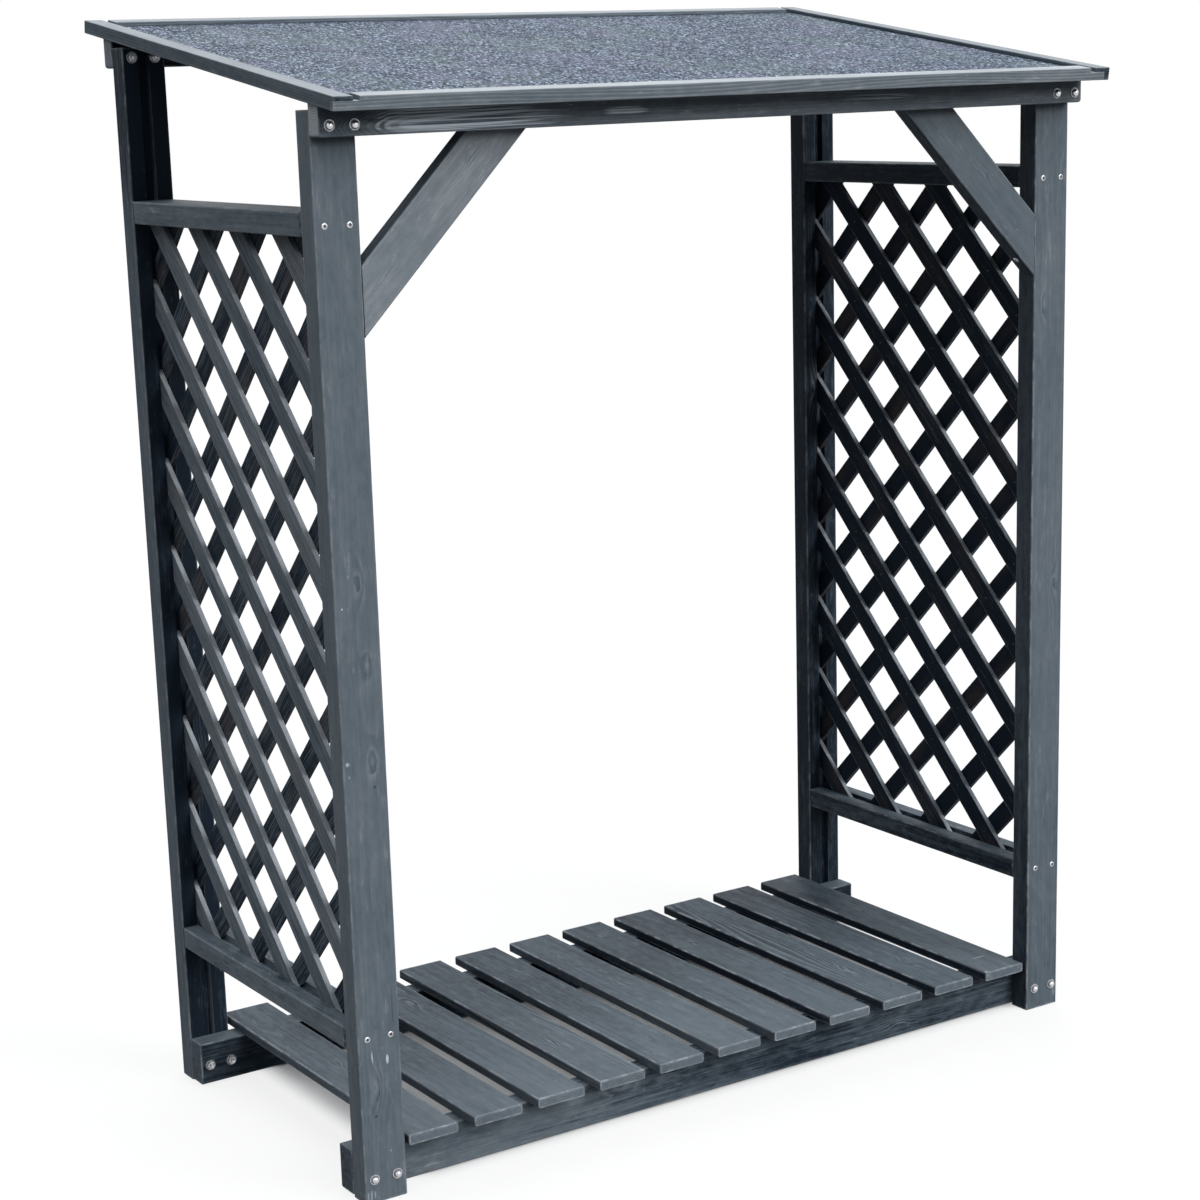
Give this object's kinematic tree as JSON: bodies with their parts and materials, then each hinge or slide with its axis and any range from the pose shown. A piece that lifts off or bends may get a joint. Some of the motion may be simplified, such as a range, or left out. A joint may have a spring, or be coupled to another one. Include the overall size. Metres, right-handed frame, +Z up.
{
  "type": "log store",
  "caption": "Open-fronted timber log store: bolted post frame, trellis sides, slatted floor, front braces and a sloping felted roof with edge trims.",
  "frame": {"origin": "middle of the footprint, on the ground under the posts", "axes": "+Z up, +X to the right seen from the front, the low braced front faces -Y"},
  "size_m": [1.382, 0.809, 1.7089],
  "materials": {
    "stained_timber": "planed softwood with a blue-grey anthracite stain",
    "trellis_timber": "thin planed laths with the same stain",
    "roof_board": "stained board",
    "roof_felt": "mineral surfaced roofing felt, blue-grey"
  },
  "bodies": {
    "root": {"front_left_post": "stained_timber", "front_right_post": "stained_timber", "back_left_post": "stained_timber", "back_right_post": "stained_timber", "left_top_rail": "stained_timber", "left_low_rail": "stained_timber", "right_top_rail": "stained_timber", "right_low_rail": "stained_timber", "left_trellis": "trellis_timber", "right_trellis": "trellis_timber", "front_beam": "stained_timber", "back_beam": "stained_timber", "left_brace": "stained_timber", "right_brace": "stained_timber", "front_bearer": "stained_timber", "back_bearer": "stained_timber", "floor_slat_1": "stained_timber", "floor_slat_2": "stained_timber", "floor_slat_3": "stained_timber", "floor_slat_4": "stained_timber", "floor_slat_5": "stained_timber", "floor_slat_6": "stained_timber", "floor_slat_7": "stained_timber", "floor_slat_8": "stained_timber", "floor_slat_9": "stained_timber", "floor_slat_10": "stained_timber", "floor_slat_11": "stained_timber", "roof_board": "roof_board", "roof_felt": "roof_felt", "roof_trim_front": "stained_timber", "roof_trim_back": "stained_timber", "roof_trim_left": "stained_timber", "roof_trim_right": "stained_timber"}
  },
  "joints": []
}
